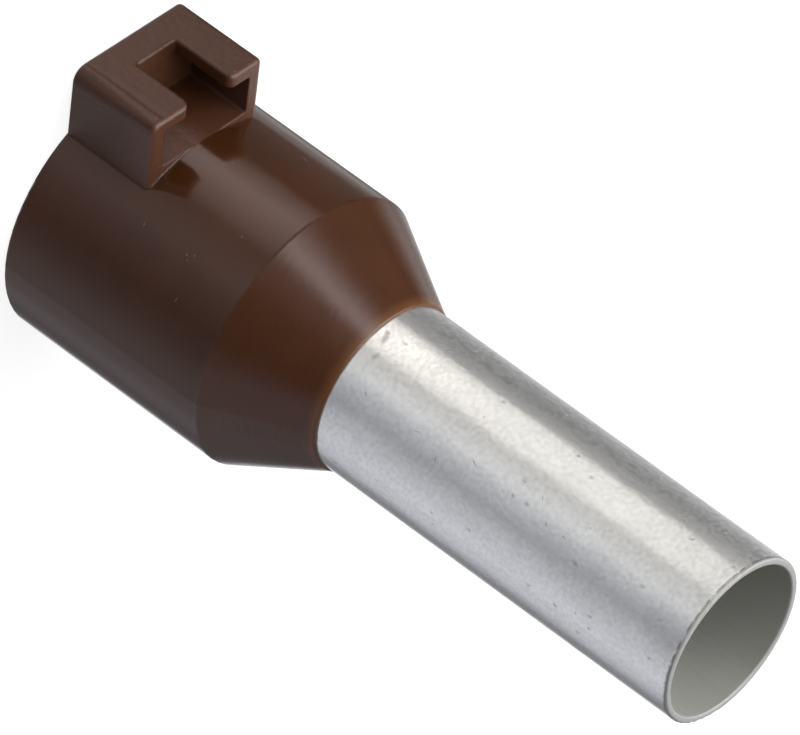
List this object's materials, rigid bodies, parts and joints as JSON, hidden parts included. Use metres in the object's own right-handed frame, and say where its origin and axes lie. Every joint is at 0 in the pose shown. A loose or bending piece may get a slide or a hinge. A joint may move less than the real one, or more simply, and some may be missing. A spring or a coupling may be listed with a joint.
{
  "type": "wire ferrule",
  "caption": "Insulated wire end ferrule: a thin tinned sleeve in a brown plastic collar that carries a small open marker holder.",
  "frame": {"origin": "centre of the collar's open end, on the surface that the ferrule stands on", "axes": "+Z along the axis from the collar's open end to the sleeve's tip; the marker holder is on the -Y side"},
  "size_m": [0.008, 0.0096, 0.0216],
  "materials": {
    "brown_plastic": "semi-gloss moulded, dark brown",
    "tinned_copper": "satin tin plating on copper"
  },
  "bodies": {
    "root": {"insulating_collar": "brown_plastic", "crimp_sleeve": "tinned_copper"}
  },
  "joints": []
}
